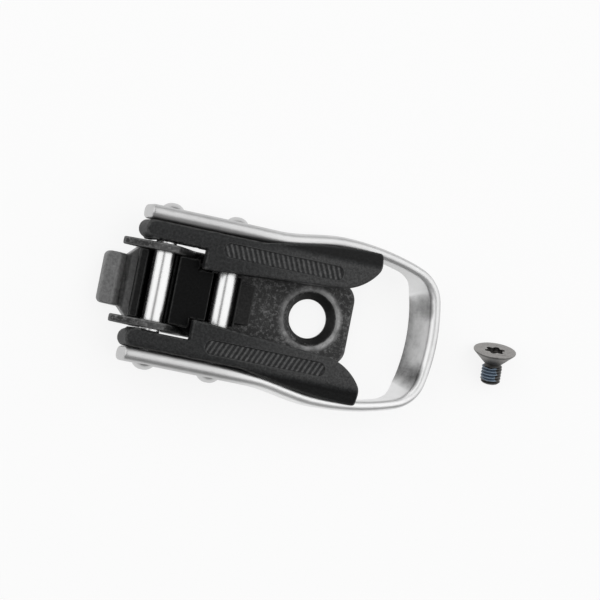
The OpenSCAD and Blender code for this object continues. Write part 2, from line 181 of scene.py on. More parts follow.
def bracket_field(x, y, z):
    side = np.abs(y)
    qx, qy = x - (PLATE_END - PLATE_CORNER_R), side - (PLATE_HALF - PLATE_CORNER_R)
    plan = np.hypot(np.maximum(qx, 0), np.maximum(qy, 0)) - PLATE_CORNER_R
    plate = round_and(plan + np.minimum(np.maximum(qx, qy), 0), z - PLATE_T, 0.9)
    plate = round_and(np.maximum(plate, WEB_X - x), -z, 0.3)

    neck = PLATE_HALF + (x - WEB_X)
    tongue_half = np.clip(neck, TONGUE_HALF, PLATE_HALF)
    slant = np.where((neck > TONGUE_HALF) & (x < WEB_X), COS_45, 1.0)
    plan = round_and((side - tongue_half) * slant, TONGUE_X - x, 1.4)
    climb = (z - PLATE_T + x - RAMP_X) * COS_45
    over = round_or(z - PLATE_T, round_and(z - TONGUE_TOP, climb, 0.5), 0.6)
    under = np.maximum(-z, np.minimum(TONGUE_UNDER - z, (RAMP_UNDER_X - x - z) * COS_45))
    tongue = round_and(np.maximum(plan, x - WEB_X - 0.5), round_and(over, under, 0.3), 0.35)
    body = np.minimum(plate, tongue)

    lobe = np.hypot(x, z - PIVOT_Z) - EAR_R
    nose, foot, axis = (NOSE_X, NOSE_TOP), (EAR_FOOT_X, PLATE_T), (0, PIVOT_Z)
    left, right = touch(nose, axis, EAR_R, -1), touch(foot, axis, EAR_R, 1)
    web = np.maximum(half_plane(x, z, nose, left), half_plane(x, z, right, foot))
    web = np.maximum(web, half_plane(x, z, left, right))
    chin = half_plane(x, z, (WEB_X, PLATE_T), (NOSE_X, NOSE_LOW))
    web = round_and(web, np.maximum(NOSE_X - x, chin), 0.45)
    web = np.maximum(web, np.maximum(PLATE_T / 2 - z, x - EAR_FOOT_X))
    ear = round_and(np.minimum(lobe, web), np.abs(side - EAR_MID) - EAR_HALF_T, 0.4)
    body = round_or(body, ear, 0.3)

    r = np.hypot(x - HOLE_X, y)
    sink = np.minimum(r - HOLE_R, (r - HOLE_R - (z - HOLE_LAND)) * COS_45)
    body = round_and(body, -sink, 0.45)
    return np.maximum(body, SLEEVE_R + SLEEVE_PLAY - np.hypot(x, z - PIVOT_Z))


def grip_inner(x):
    """Side of a grip along the channel: nearly straight, then swept out to the tip."""
    q = np.clip((x - SWEEP_X) / TIP_CUT, 0, 0.9995)
    run = CHANNEL_HALF + CHANNEL_SPREAD * (x - SLOT_END) / (SWEEP_X - SLOT_END)
    sweep = 0.35 * q * q + 0.65 * (1 - np.sqrt(1 - q * q))
    return np.where(q > 0, CHANNEL_WIDE + TIP_SWEEP * sweep, run)


def wing_edge(x):
    """Outer edge of the wing that laps over the loop."""
    q = np.clip((x - WING_X) / (TIP_X - WING_X), 0, 1)
    return np.maximum(WALL_OUT, RIDGE_Y + WING_W * np.sin(q * math.pi / 2))


def grip_outer(x):
    """Side of a grip below the wing, close along the inside of the loop."""
    return arm_line(x) - wall_at(x) * np.hypot(1, arm_slope(x)) - LOOP_GAP


def grip_panel(x, y):
    """Sunk panel in a grip's top face, and the wave of the slanted ribs in it."""
    mid = (CHANNEL_WIDE + RIDGE_Y) / 2
    rib = np.cos((x + RIB_SLANT * (y - mid)) * 2 * math.pi / RIB_PITCH)
    return stadium(x, y, SLOT_END + PANEL_IN, SWEEP_X + PANEL_PAST, mid, PANEL_R), rib


def cheek_box(x, y, z, size):
    """The block's cheek on the strap axis, or the pocket that takes it."""
    long, wide, mid, thick = size
    return np.maximum(np.maximum(np.abs(x - STRAP_X) - long, np.abs(y) - wide), np.abs(z - mid) - thick)


def grip_field(x, y, z):
    step = 0.05
    lean = np.clip((grip_inner(x + step) - grip_inner(x - step)) / (2 * step), 0, 8)
    inner = (grip_inner(x) - y) / np.hypot(1, lean)
    outer = (y - wing_edge(x)) / np.hypot(1, WING_SLOPE)
    main = round_and(round_and(inner, outer, 0.4), x - TIP_X, 0.9)
    main = round_and(main, SLOT_END - x, 0.5)
    wall_mid, wall_r = (WALL_IN + WALL_OUT) / 2, (WALL_OUT - WALL_IN) / 2
    wall = stadium(x, y, WALL_BACK, SLOT_END + WALL_LAP, wall_mid, wall_r)
    pad = np.maximum(np.abs(x - PAD_X) - PAD_HALF_X, np.abs(y - PAD_Y) - PAD_HALF_Y)
    plan = round_or(np.minimum(main, pad), wall, 0.4)

    slope = math.atan2(WING_FALL, WING_W)
    bevel = (y - RIDGE_Y) * math.sin(slope) + (z - GRIP_TOP) * math.cos(slope)
    body = round_and(plan, round_and(z - GRIP_TOP, bevel, 1.0), 0.65)
    body = round_and(body, GRIP_LOW - z, 0.4)
    body = round_and(body, -np.maximum(x - SLOT_END, z - WALL_LOW), 0.25)

    past_slot = np.maximum(SLOT_END - UNDERCUT_BACK - x, x - SLOT_END - UNDERCUT_LONG)
    undercut = np.maximum(past_slot, np.maximum(y - WALL_IN, z - GRIP_TOP + UNDERCUT_ROOF))
    body = round_and(body, -undercut, 0.2)
    loop_room = np.maximum(grip_outer(x) - y, z - (top_at(x) + LAP_GAP))
    body = round_and(body, -loop_room, 0.3)
    body = np.maximum(body, -cheek_box(x, y, z, POCKET))
    body = np.maximum(body, BORE_R - np.hypot(x, z - PIVOT_Z))
    body = np.maximum(body, BORE_R - np.hypot(x - STRAP_X, z - STRAP_Z))
    panel, rib = grip_panel(x, y)
    return round_and(body, -np.maximum(panel, GRIP_TOP - PANEL_DEEP + RIB_HIGH * rib - z), 0.14)


def trough(x, z, mid, low, half):
    """Trough across the block, open at the top, with a round floor at height low."""
    sides = np.maximum(np.abs(x - mid) - half, low + half / 2 - z)
    return np.minimum(sides, np.hypot(x - mid, z - (low + half)) - half)


def block_field(x, y, z):
    side = np.abs(y)
    end = np.where(x < 0, np.hypot(x, z - PIVOT_Z) - BLOCK_R, -BLOCK_R)
    wide = round_and(np.maximum(side - BLOCK_HALF, end), x - SLOT_END + 0.1, 0.4)
    neck = np.maximum(np.maximum(side - NECK_HALF, x - STRAP_X - SLEEVE_R), -x)
    tail = round_and(np.maximum(side - TAIL_HALF, -x), x - STRAP_X - TAIL_LONG, 0.5)
    plan = np.minimum(np.minimum(wide, cheek_box(x, y, z, CHEEK)), np.minimum(neck, tail))
    top = z - (BLOCK_TOP - np.clip(x / STRAP_X, 0, 1))
    body = round_and(round_and(plan, top, 0.4), GRIP_LOW - z, 0.3)
    body = round_and(body, -trough(x, z, 0, PIVOT_TROUGH_Z, PIVOT_TROUGH_R), 0.3)
    strap = np.maximum(trough(x, z, STRAP_X, STRAP_TROUGH_Z, STRAP_TROUGH_R), side - NECK_HALF)
    body = round_and(body, -strap, 0.25)
    return np.maximum(body, SLEEVE_R + SLEEVE_PLAY - np.hypot(x - STRAP_X, z - STRAP_Z))


def thread_radius(x, y, z):
    """Radius of the screw's thread at a point; the crest winds down the shank."""
    phase = (-z / THREAD_PITCH + np.arctan2(y, x) / (2 * math.pi)) % 1
    crest = np.clip(1.25 * np.abs(2 * phase - 1) - 0.05, 0, 1)
    return THREAD_ROOT + THREAD_HIGH * crest * rise(-z, THREAD_START, THREAD_FULL)


def screw_field(x, y, z):
    r = np.hypot(x, y)
    cone = (r - SCREW_RIM - RIM_T - z) * COS_45
    head = round_and(round_and(r - SCREW_RIM, z, 0.12), cone, 0.08)
    head = np.maximum(head, -HEAD_DEEP - z)
    shank = np.maximum((r - thread_radius(x, y, z)) * 0.75, z + SHANK_TOP)
    point = (r - POINT_R - (z + SCREW_LEN)) * COS_45
    shank = np.maximum(shank, np.maximum(-SCREW_LEN - z, point))
    body = round_or(head, shank, 0.25)

    a = np.mod(np.arctan2(y, x) + math.pi / 6, math.pi / 3) - math.pi / 6
    lobe = np.hypot(r * np.cos(a) - LOBE_AT, r * np.sin(a)) - LOBE_R
    floor = -STAR_DEEP - z - STAR_CONE * (1 - r / STAR_CONE_R)
    body = round_and(body, -np.maximum(round_or(r - STAR_R, lobe, 0.3), floor), 0.1)
    mark = np.abs(r - MARK_R) - MARK_HALF
    return np.maximum(body, -np.maximum(mark, -MARK_DEEP - z))


def patch_field(x, y, z):
    """Thread-lock patch: a thin coat over one side of the thread, with ragged edges."""
    r = np.hypot(x, y)
    a = (np.arctan2(y, x) - PATCH_AT + math.pi) % (2 * math.pi) - math.pi
    edge = np.where(a > 0, 1.15, 1.4) + 0.1 * np.sin(z * 3.1) + 0.06 * np.sin(z * 7.7 + 1)
    a = np.abs(a)
    coat = r - np.maximum(thread_radius(x, y, z) + PATCH_T, PATCH_FILL_R)
    ends = np.maximum(z - PATCH_TOP + 0.12 * np.sin(a * 5), PATCH_END - z)
    sector = np.maximum((a - edge) * 2.2, ends)
    return np.maximum(round_and(coat * 0.75, sector, 0.2), PATCH_CORE_R - r)


# Mesh makers: a shape is points in mm, faces, and by point normals or None, bend and tone

def grid_edges(a, n, b_run, c_run):
    """Both ends of the grid's edges along axis a, in the given runs of the other two axes."""
    first = [None] * 3
    first[a], first[(a + 1) % 3], first[(a + 2) % 3] = slice(0, n[a]), slice(*b_run), slice(*c_run)
    last = list(first)
    last[a] = slice(1, n[a] + 1)
    return tuple(first), tuple(last)


def net(field, low, high, cell):
    """Closed net round a field: a point in each cell that the surface crosses, and quads between them."""
    axes = [np.arange(a - 1.5 * c, b + 2.5 * c, c) for a, b, c in zip(low, high, cell)]
    grid = np.meshgrid(*axes, indexing="ij")
    f = field(*grid)
    n = [len(a) - 1 for a in axes]
    total, count = np.zeros(n + [3]), np.zeros(n)
    for a in range(3):
        b, c = (a + 1) % 3, (a + 2) % 3
        for j, k in ((0, 0), (0, 1), (1, 0), (1, 1)):
            first, last = grid_edges(a, n, (j, j + n[b]), (k, k + n[c]))
            f0, f1 = f[first], f[last]
            hit = (f0 < 0) != (f1 < 0)
            spot = np.stack([g[first][hit] for g in grid], 1)
            spot[:, a] += cell[a] * f0[hit] / (f0[hit] - f1[hit])
            total[hit] += spot
            count[hit] += 1
    live = count > 0
    points = total[live] / count[live][:, None]
    index = np.full(n, -1)
    index[live] = np.arange(len(points))

    quads = []
    for a in range(3):
        b, c = (a + 1) % 3, (a + 2) % 3
        first, last = grid_edges(a, n, (1, n[b]), (1, n[c]))
        f0, f1 = f[first] < 0, f[last] < 0
        at = np.array(np.nonzero(f0 != f1))
        step_b, step_c = np.eye(3, dtype=int)[:, [b]], np.eye(3, dtype=int)[:, [c]]
        ring = (at, at + step_b, at + step_b + step_c, at + step_c)
        quad = np.stack([index[tuple(p)] for p in ring], 1)
        quads.append(np.where(f0[tuple(at)][:, None], quad, quad[:, ::-1]))
    return points, np.concatenate(quads)


def cast(field, low, high, cell, tone=None):
    """Shape of a field's surface: its net, drawn onto the surface itself."""
    cell = np.array(cell, float)
    points, quads = net(field, low, high, cell)

    def values(p):
        return field(p[:, 0], p[:, 1], p[:, 2])

    def spread(p, h):
        return [(values(p + e), values(p - e)) for e in np.eye(3) * h]

    step, wide_step, reach = 0.02, 0.3, 0.4 * cell.min()
    for _ in range(4):
        slope = np.stack([(u - v) / (2 * step) for u, v in spread(points, step)], 1)
        size = np.maximum((slope ** 2).sum(1), 0.05)
        move = np.clip(values(points) / size, -reach, reach)
        points = points - move[:, None] * slope
    slope = np.stack([u - v for u, v in spread(points, 2 * step)], 1)
    normals = slope / np.maximum(np.linalg.norm(slope, axis=1), 1e-9)[:, None]
    bend = sum(u + v - 2 * values(points) for u, v in spread(points, wide_step)) / wide_step ** 2
    shade = tone(*points.T) if tone else np.zeros(len(points))
    return points, quads, normals, bend, shade


def plain(points, faces, tone=None):
    """Shape without normals or bend of its own."""
    flat = np.zeros(len(points))
    return np.array(points, float), faces, None, flat, flat if tone is None else tone


def loft(rings, tone):
    """Skin through rings of equal count, closed at both ends."""
    m, n = len(rings), len(rings[0])
    faces = [(i * n + j, (i + 1) * n + j, (i + 1) * n + (j + 1) % n, i * n + (j + 1) % n)
             for i in range(m - 1) for j in range(n)]
    faces += [tuple(range(n)), tuple((m - 1) * n + j for j in reversed(range(n)))]
    return plain([p for ring in rings for p in ring], faces, tone)


def turned(profile, x, z, steps):
    """Turned piece along Y: profile is (radius, y), and a first radius of 0 means a solid bar."""
    points = [(x + r * math.sin(a), y, z + r * math.cos(a))
              for a in (2 * math.pi * i / steps for i in range(steps)) for r, y in profile]
    n = len(profile)
    last = n if profile[0][0] > 0 else n - 1
    faces = []
    for i in range(steps):
        for j in range(last):
            this, following = i * n, ((i + 1) % steps) * n
            faces.append((this + j, this + (j + 1) % n, following + (j + 1) % n, following + j))
    return plain(points, faces)


def arc(cx, cy, r, start, end, steps):
    turns = [math.radians(start + (end - start) * i / steps) for i in range(steps + 1)]
    return [(cx + r * math.cos(a), cy + r * math.sin(a)) for a in turns]


def merge_doubles(mesh):
    bm = bmesh.new()
    bm.from_mesh(mesh)
    bmesh.ops.remove_doubles(bm, verts=bm.verts, dist=2e-6)
    bmesh.ops.recalc_face_normals(bm, faces=bm.faces)
    bm.to_mesh(mesh)
    bm.free()


def add_piece(name, shape, node, body, slot):
    """Makes one piece from a shape, in place of its CAD node; its finish goes by the slot's name."""
    points, faces, normals, bend, tone = shape
    spots = (points - (HOLE_X, 0, 0)) * MM
    mesh = bpy.data.meshes.new(name)
    mesh.from_pydata(spots.tolist(), [], faces.tolist() if isinstance(faces, np.ndarray) else faces)
    mesh.validate()
    mesh.shade_smooth()
    # crease_shade is how hollow a place is; the coated steel is painted darker there as shade.
    values = {"edge": np.clip(bend * 0.5, 0, 1), "crease_shade": np.clip(-bend * 0.5, 0, 1), "tone": tone}
    for label, value in values.items():
        mesh.attributes.new(label, "FLOAT", "POINT").data.foreach_set("value", value.astype(np.float32))
    if normals is None:
        merge_doubles(mesh)
        mesh.set_sharp_from_angle(angle=SHARP_ANGLE)
    else:
        mesh.normals_split_custom_set_from_vertices(normals.tolist())
    mesh.materials.append(FINISH[slot])
    piece = bpy.data.objects.new(name, mesh)
    bpy.context.scene.collection.objects.link(piece)
    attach(piece, body)
    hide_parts(node)


# Shader nodes

def wire(tree, kind, settings=None, **sockets):
    """Adds a shader node; sockets are named with _ for a space, or i0, i1 for a place in the list."""
    node = tree.nodes.new(kind)
    for key, value in (settings or {}).items():
        setattr(node, key, value)
    for key, value in sockets.items():
        by_place = key[0] == "i" and key[1:].isdigit()
        socket = node.inputs[int(key[1:]) if by_place else key.replace("_", " ")]
        if isinstance(value, bpy.types.NodeSocket):
            tree.links.new(value, socket)
        else:
            socket.default_value = value
    return node


def maths(tree, operation, a, b, clamp=False):
    settings = {"operation": operation, "use_clamp": clamp}
    return wire(tree, "ShaderNodeMath", settings, i0=a, i1=b).outputs[0]


def plus(tree, a, b, clamp=False):
    return maths(tree, "ADD", a, b, clamp)


def minus(tree, a, b, clamp=False):
    return maths(tree, "SUBTRACT", a, b, clamp)


def times(tree, a, b, clamp=False):
    return maths(tree, "MULTIPLY", a, b, clamp)


def larger(tree, a, b):
    return maths(tree, "MAXIMUM", a, b)


def ramp(tree, value, low, high):
    """0 below low, 1 above high, eased between."""
    return wire(tree, "ShaderNodeMapRange", {"interpolation_type": "SMOOTHSTEP"},
                Value=value, From_Min=low, From_Max=high).outputs[0]


def noise(tree, spot, scale, detail, rough):
    return wire(tree, "ShaderNodeTexNoise", Vector=spot, Scale=scale, Detail=detail,
                Roughness=rough).outputs[0]


def tint(tree, mask, low, high):
    return wire(tree, "ShaderNodeMix", {"data_type": "RGBA"}, i0=mask, i6=low, i7=high).outputs[2]


def grey(v, warm=0.0):
    return v * (1 + warm), v, v * (1 - warm), 1


def new_group(name, inputs, outputs):
    """Empty node group; an input without a default is a vector. Gives its tree and both ends."""
    tree = bpy.data.node_groups.new(name, "ShaderNodeTree")
    for label, default in inputs.items():
        kind = "NodeSocketVector" if default is None else "NodeSocketFloat"
        socket = tree.interface.new_socket(name=label, in_out="INPUT", socket_type=kind)
        if default is not None:
            socket.default_value = default
    for label in outputs:
        tree.interface.new_socket(name=label, in_out="OUTPUT", socket_type="NodeSocketFloat")
    return tree, tree.nodes.new("NodeGroupInput").outputs, tree.nodes.new("NodeGroupOutput").inputs


def moulded_grain_group():
    """Spark-eroded mould texture: a fine pebbled height, a slow drift of tone and fine flecks."""
    tree, put, out = new_group("Moulded grain", {"Spot": None, "Scale": 3000}, ["Height", "Drift", "Fleck"])
    spot, scale = put["Spot"], put["Scale"]
    fine = noise(tree, spot, scale, 3, 0.6)
    pebble = wire(tree, "ShaderNodeTexVoronoi", {"feature": "SMOOTH_F1"}, Vector=spot,
                  Scale=times(tree, scale, 0.6)).outputs[0]
    fleck = noise(tree, spot, times(tree, scale, 0.5), 5, 0.8)
    tree.links.new(plus(tree, times(tree, fine, 0.6), times(tree, pebble, 0.5)), out["Height"])
    tree.links.new(noise(tree, spot, 190, 3, 0.6), out["Drift"])
    tree.links.new(ramp(tree, fleck, 0.36, 0.66), out["Fleck"])
    return tree


def wear_and_highlight_group():
    """Paler edges from the bend of the surface, broken up by noise: wear, and on the block a painted
    highlight.
    """
    tree, put, out = new_group("Worn and highlit edges", {"Spot": None, "Edge": 0, "Scale": 700, "Reach": 0.5}, ["Rub"])
    patchy = minus(tree, noise(tree, put["Spot"], put["Scale"], 4, 0.65), 0.5)
    raised = plus(tree, put["Edge"], times(tree, patchy, 1.5))
    tree.links.new(ramp(tree, raised, minus(tree, 1.0, put["Reach"]), 1.15), out["Rub"])
    return tree


def scuff_group():
    """Tumbled metal, worn in handling: hairlines in several directions and soft clouds."""
    tree, put, out = new_group("Scuffs", {"Spot": None, "Scale": 900}, ["Lines", "Cloud", "Height"])
    spot, scale = put["Spot"], put["Scale"]
    lines = None
    for turn in (0.3, 1.4, 2.5):
        lay = wire(tree, "ShaderNodeMapping", Vector=spot, Rotation=(0.4, turn, turn * 1.3),
                   Scale=(0.06, 1.0, 1.0)).outputs[0]
        one = ramp(tree, noise(tree, lay, times(tree, scale, 5), 2, 0.5), 0.62, 0.74)
        lines = one if lines is None else larger(tree, lines, one)
    grain = noise(tree, spot, times(tree, scale, 4), 3, 0.6)
    tree.links.new(lines, out["Lines"])
    tree.links.new(noise(tree, spot, times(tree, scale, 0.35), 4, 0.6), out["Cloud"])
    tree.links.new(minus(tree, grain, times(tree, lines, 0.4)), out["Height"])
    return tree


def speck_group():
    """Ragged bare spots where a coating has chipped, in drifts."""
    tree, put, out = new_group("Specks", {"Spot": None, "Scale": 900, "Amount": 0.3}, ["Speck"])
    spot, scale = put["Spot"], put["Scale"]
    grit = noise(tree, spot, scale, 4, 0.75)
    drift = minus(tree, noise(tree, spot, times(tree, scale, 0.16), 3, 0.6), 0.5)
    raised = plus(tree, grit, times(tree, drift, put["Amount"]))
    tree.links.new(ramp(tree, raised, 0.54, 0.76), out["Speck"])
    return tree


MOULDED, WEAR_AND_HIGHLIGHT, SCUFFS, SPECKS = moulded_grain_group(), wear_and_highlight_group(), scuff_group(), speck_group()


def placed(tree, group, **sockets):
    return wire(tree, "ShaderNodeGroup", {"node_tree": group}, **sockets).outputs


def field_value(tree, label):
    return wire(tree, "ShaderNodeAttribute", {"attribute_name": label}).outputs["Fac"]


def roughen(tree, skin, mask, low, high):
    value = wire(tree, "ShaderNodeMapRange", Value=mask, To_Min=low, To_Max=high).outputs[0]
    tree.links.new(value, skin.inputs["Roughness"])


def emboss(tree, skin, height, strength, distance):
    bump = wire(tree, "ShaderNodeBump", Height=height, Strength=strength, Distance=distance)
    tree.links.new(bump.outputs[0], skin.inputs["Normal"])


# Finishes

def new_finish(name, **shader):
    """A material with one Principled shader; shader gives its plain values."""
    finish = bpy.data.materials.new(name)
    finish.use_nodes = True
    tree = finish.node_tree
    skin = tree.nodes["Principled BSDF"]
    for key, value in shader.items():
        skin.inputs[key.replace("_", " ")].default_value = value
    spot = wire(tree, "ShaderNodeTexCoord").outputs["Object"]
    return finish, tree, skin, spot


def satin_aluminium():
    """Tumbled aluminium: darker where tone is above 0, in part painted shade, with a dark, clouded skin
    where it is below, partly painted reflection.
    """
    finish, tree, skin, spot = new_finish("satin_aluminium", Metallic=1.0)
    scuff = placed(tree, SCUFFS, Spot=spot, Scale=900)
    shade = minus(tree, scuff["Cloud"], times(tree, scuff["Lines"], 0.25), True)
    tone = field_value(tree, "tone")
    clean = tint(tree, shade, grey(0.76), grey(0.92))
    dull_and_shaded = tint(tree, shade, grey(0.42), grey(0.6))
    metal = tint(tree, times(tree, tone, 1.0, True), clean, dull_and_shaded)
    # Tone below 0 gives the dark clouded skin inside the bow, partly painted reflection.
    inside = times(tree, tone, -1.0, True)
    cloud = minus(tree, noise(tree, spot, 170, 8, 0.7), 0.5)
    clouded = tint(tree, plus(tree, inside, times(tree, cloud, 1.1), True), grey(0.8), grey(0.11))
    tree.links.new(tint(tree, ramp(tree, inside, 0, 0.3), metal, clouded), skin.inputs["Base Color"])
    roughen(tree, skin, scuff["Cloud"], 0.34, 0.48)
    emboss(tree, skin, scuff["Height"], 0.15, 0.00006)
    return finish


def coated_steel():
    """Dark mottled phosphate coat, rubbed on its edges and in ragged spots.

    Tone paints it paler from 0 to 1 and brighter above 1, as painted light and wear; below 0 it paints
    shade.
    """
    finish, tree, skin, spot = new_finish("coated_steel")
    grain = placed(tree, MOULDED, Spot=spot, Scale=2600)
    pale_edge = placed(tree, WEAR_AND_HIGHLIGHT, Spot=spot, Edge=field_value(tree, "edge"), Scale=800, Reach=0.75)
    speck = placed(tree, SPECKS, Spot=spot, Scale=1500, Amount=0.7)
    tone = field_value(tree, "tone")
    flecks = times(tree, grain["Fleck"], 0.6)
    # Tone above 0: painted light on the tongue and its step, painted highlight and wear on the rim, wear on
    # the ears.
    painted_light_and_polish = times(tree, tone, plus(tree, 0.55, flecks), True)
    bright = times(tree, minus(tree, tone, 1.0, True), plus(tree, 0.4, flecks), True)
    chips = plus(tree, 0.4, times(tree, times(tree, tone, 1.0, True), 0.6))
    bare = larger(tree, times(tree, pale_edge["Rub"], 0.5), times(tree, speck["Speck"], chips))
    mottle = noise(tree, spot, 1000, 4, 0.75)

    coat = tint(tree, ramp(tree, grain["Drift"], 0.3, 0.7), grey(0.007), grey(0.018))
    for mask, colour in ((ramp(tree, mottle, 0.47, 0.7), grey(0.14)),
                         (painted_light_and_polish, grey(0.17)),
                         (bright, grey(0.42)),
                         (bare, grey(0.26)),
                         # Painted shade in hollows.
                         (field_value(tree, "crease_shade"), grey(0.016)),
                         # Painted shade in the countersink.
                         (times(tree, tone, -0.92, True), grey(0.01))):
        coat = tint(tree, mask, coat, colour)
    tree.links.new(coat, skin.inputs["Base Color"])
    tree.links.new(plus(tree, 0.35, times(tree, bare, 0.6)), skin.inputs["Metallic"])
    roughen(tree, skin, grain["Drift"], 0.38, 0.55)
    emboss(tree, skin, grain["Height"], 0.45, 0.00012)
    return finish


def plastic(name, tone, level, rough, depth, scale, wear_and_highlight_grey, reach):
    """Black moulded plastic, painted paler where the field tone is above 0 and darker where it is below 0,
    as painted light and shade.
    """
    finish, tree, skin, spot = new_finish(name, Specular_IOR_Level=level)
    grain = placed(tree, MOULDED, Spot=spot, Scale=scale)
    pale_edge = placed(tree, WEAR_AND_HIGHLIGHT, Spot=spot, Edge=field_value(tree, "edge"), Scale=900, Reach=reach)
    painted_light_and_shade = field_value(tree, "tone")
    base = tint(tree, grain["Fleck"], grey(tone * 0.55, -0.03), grey(tone * 1.45, -0.03))
    pale = tint(tree, grain["Fleck"], grey(tone * 3.2), grey(tone * 7))
    # Painted light above 0, painted shade below 0.
    base = tint(tree, times(tree, painted_light_and_shade, 1.0, True), base, pale)
    base = tint(tree, times(tree, painted_light_and_shade, -1.0, True), base, grey(tone * 0.2))
    # Pale edges: wear on the grips, a painted highlight on the block.
    tree.links.new(tint(tree, pale_edge["Rub"], base, grey(wear_and_highlight_grey)), skin.inputs["Base Color"])
    roughen(tree, skin, grain["Drift"], rough - 0.06, rough + 0.08)
    emboss(tree, skin, grain["Height"], depth, 0.00018)
    return finish


def bar_metal(name, tone, low, high, depth):
    """Bright metal of the pins, its roughness between low and high."""
    finish, tree, skin, spot = new_finish(name, Metallic=1.0)
    scuff = placed(tree, SCUFFS, Spot=spot, Scale=1100)
    tree.links.new(tint(tree, scuff["Cloud"], grey(tone * 0.9), grey(tone)), skin.inputs["Base Color"])
    roughen(tree, skin, scuff["Cloud"], low, high)
    emboss(tree, skin, scuff["Height"], depth, 0.00004)
    return finish


def screw_steel():
    """Phosphated screw: grey face, painted shade below the head."""
    finish, tree, skin, spot = new_finish("screw_steel", Metallic=1.0)
    scuff = placed(tree, SCUFFS, Spot=spot, Scale=1500)
    speck = placed(tree, SPECKS, Spot=spot, Scale=1800, Amount=0.45)
    pale_edge = placed(tree, WEAR_AND_HIGHLIGHT, Spot=spot, Edge=field_value(tree, "edge"), Scale=1500, Reach=0.6)
    face = tint(tree, scuff["Cloud"], grey(0.2, 0.04), grey(0.38, 0.03))
    # Painted shade below the head.
    below = tint(tree, scuff["Cloud"], grey(0.035, 0.03), grey(0.1, 0.03))
    metal = tint(tree, times(tree, field_value(tree, "tone"), -1.0, True), face, below)
    metal = tint(tree, speck["Speck"], metal, grey(0.08, 0.06))
    metal = tint(tree, times(tree, pale_edge["Rub"], 0.12), metal, grey(0.5))
    tree.links.new(metal, skin.inputs["Base Color"])
    roughen(tree, skin, scuff["Cloud"], 0.32, 0.5)
    emboss(tree, skin, scuff["Height"], 0.3, 0.00008)
    return finish


def patch_nylon():
    """Blue nylon of the thread patch, paler on the crests."""
    finish, tree, skin, spot = new_finish("patch_nylon", Specular_IOR_Level=0.4)
    grain = placed(tree, MOULDED, Spot=spot, Scale=3200)
    pale_edge = placed(tree, WEAR_AND_HIGHLIGHT, Spot=spot, Edge=field_value(tree, "edge"), Scale=1800, Reach=0.8)
    base = tint(tree, grain["Drift"], (0.016, 0.03, 0.052, 1), (0.04, 0.066, 0.1, 1))
    tree.links.new(tint(tree, pale_edge["Rub"], base, (0.2, 0.26, 0.33, 1)), skin.inputs["Base Color"])
    roughen(tree, skin, grain["Drift"], 0.4, 0.55)
    emboss(tree, skin, grain["Height"], 0.3, 0.0001)
    return finish


FINISH = {
    "satin_aluminium": satin_aluminium(),
    "coated_steel": coated_steel(),
    "grip_plastic": plastic("grip_plastic", tone=0.02, level=0.14, rough=0.48, depth=0.5, scale=3000,
                            wear_and_highlight_grey=0.064, reach=0.45),
    # On the block the pale edges are a painted highlight.
    "block_plastic": plastic("block_plastic", tone=0.004, level=0.06, rough=0.42, depth=0.15, scale=3800,
                             wear_and_highlight_grey=0.04, reach=0.66),
    "rivet_metal": bar_metal("rivet_metal", tone=0.62, low=0.26, high=0.36, depth=0.15),
    "polished_steel": bar_metal("polished_steel", tone=0.8, low=0.24, high=0.32, depth=0.05),
    "screw_steel": screw_steel(),
    "patch_nylon": patch_nylon(),
}


# Tones: wear, painted light and painted shade on the finishes

def bracket_tone(x, y, z):
    """Painted light on the tongue and its step, a painted highlight with wear on the rim, painted shade in
    the countersink.
    """
    r, around = np.hypot(x - HOLE_X, y), np.arctan2(y, x - HOLE_X)
    # Rim of the hole: a painted highlight mixed with ragged wear, stronger on the +x side.
    ragged = 1 + 0.2 * np.sin(7 * around + 0.5) + 0.15 * np.sin(13 * around + 2)
    rim = (0.9 + 1.2 * rise(x - HOLE_X, -2, 5)) * ragged * rise(r, 6.6, 6.8) * rise(8.6 - r, 0, 1.4)
    # Painted light on the tongue, and brighter painted light on its step and on the plate up to the block.
    tongue_painted_light = rise(-x, 8.6, 9.6)
    tongue_painted_light = tongue_painted_light + 1.7 * rise(-x, 3.0, 5.0) * rise(9.9 + x, 0, 0.7)
    tongue_painted_light = tongue_painted_light + 0.7 * rise(-x, 7.0, 7.4) * rise(9.4 + x, 0, 0.5)
    ears = 0.3 * rise(np.abs(y), BETWEEN_EARS, BETWEEN_EARS + 0.15) * rise(z, 11.5, 13)
    # Painted shade in the countersink, set off centre.
    scale = rise(6.75 - r, 0, 0.35) * rise(6.6 - np.hypot(x - HOLE_X - 0.9, y - 0.4), 0, 0.4)
    return np.where(np.abs(y) < BETWEEN_EARS, tongue_painted_light, 0) + rim + ears - scale


def grip_tone(x, y, z):
    """Painted light on the top face, paler towards the tip, its ribs paler too; painted shade on the slope
    beside it.
    """
    panel, rib = grip_panel(x, np.abs(y))
    top = rise(z, 13.0, 13.35) * (0.06 + 0.34 * rise(x, 14, 42))
    slope = 0.7 * rise(np.abs(y), RIDGE_Y + 0.1, RIDGE_Y + 0.7)
    return top - slope + 0.9 * rise(rib, -0.2, 0.9) * rise(-panel, 0, 0.3) * rise(z, 12.9, 13)


def block_tone(x, y, z):
    """Painted light: paler on the tail and along the top of the rounded end."""
    return rise(x, 19, 20) + 0.36 * rise(-x, 3.6, 4.2) * rise(z, 8, 9)


def screw_tone(x, y, z):
    """Painted shade and light: a dark band round the rim, a paler cone below it that darkens to the thread.
    """
    return 0.55 * rise(-z, 0.45, 0.7) - rise(-z, 0.08, 0.2) - 0.55 * rise(-z, 0.9, 2.4)


